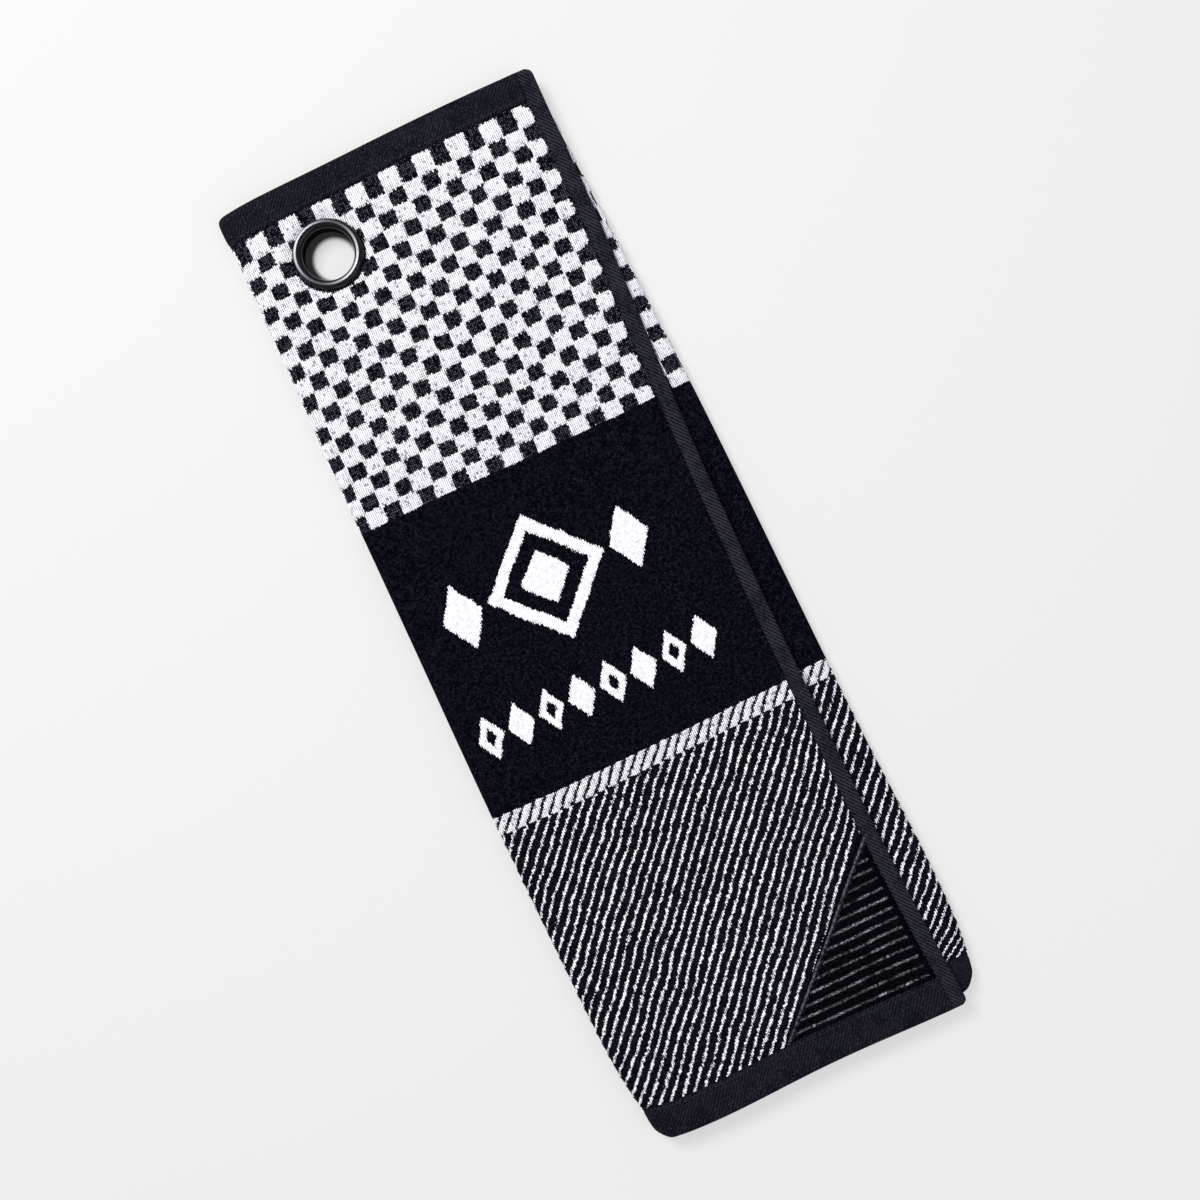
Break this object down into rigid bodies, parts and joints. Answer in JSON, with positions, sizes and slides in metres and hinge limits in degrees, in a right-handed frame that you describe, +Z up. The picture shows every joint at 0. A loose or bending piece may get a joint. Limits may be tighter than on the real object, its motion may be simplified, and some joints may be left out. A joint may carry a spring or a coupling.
{
  "type": "golf towel",
  "caption": "Tri-fold jacquard golf towel with checks, velour band, diagonal stripes, ribbed scrub patch and metal grommet; front panel turns over.",
  "frame": {"origin": "middle of the underside of the folded towel", "axes": "+Y along the towel towards the grommet end, +X across it towards the front panel's free edge, +Z up out of its face"},
  "size_m": [0.1485, 0.4064, 0.0097],
  "materials": {
    "pile_cloth": "black and off-white cotton jacquard, raised pile and short velour",
    "twill_hem": "black cotton twill",
    "ribbed_cloth": "black ribbed synthetic cloth",
    "thread": "black sewing thread",
    "grommet": "polished black nickel plate"
  },
  "bodies": {
    "folded_body": {"back_panel_cloth": "pile_cloth", "inner_panel_cloth": "pile_cloth", "pinned_strip_cloth": "pile_cloth", "left_fold_cloth": "pile_cloth", "right_fold_cloth": "pile_cloth", "back_top_hem": "twill_hem", "back_bottom_hem": "twill_hem", "left_fold_top_hem": "twill_hem", "left_fold_bottom_hem": "twill_hem", "right_fold_top_hem": "twill_hem", "right_fold_bottom_hem": "twill_hem", "inner_side_hem": "twill_hem", "inner_top_hem": "twill_hem", "inner_bottom_hem": "twill_hem", "pinned_strip_top_hem": "twill_hem", "pinned_strip_bottom_hem": "twill_hem", "pinned_strip_top_thread": "thread", "pinned_strip_bottom_thread": "thread", "grommet_eyelet": "grommet", "grommet_washer": "grommet"},
    "front_flap": {"front_panel_cloth": "pile_cloth", "front_top_hem": "twill_hem", "front_bottom_hem": "twill_hem", "front_side_hem": "twill_hem", "scrub_patch": "ribbed_cloth", "scrub_patch_edge": "twill_hem", "scrub_patch_thread": "thread", "front_top_thread": "thread", "front_bottom_thread": "thread", "front_side_thread": "thread", "top_corner_tack": "thread", "bottom_corner_tack": "thread"}
  },
  "joints": [
    {"name": "front_flap_turn", "type": "hinge", "parent": "folded_body", "child": "front_flap", "pos_m": [-0.019, 0, 0.0096], "axis": [0, -1, 0], "range_deg": [0, 175]}
  ]
}
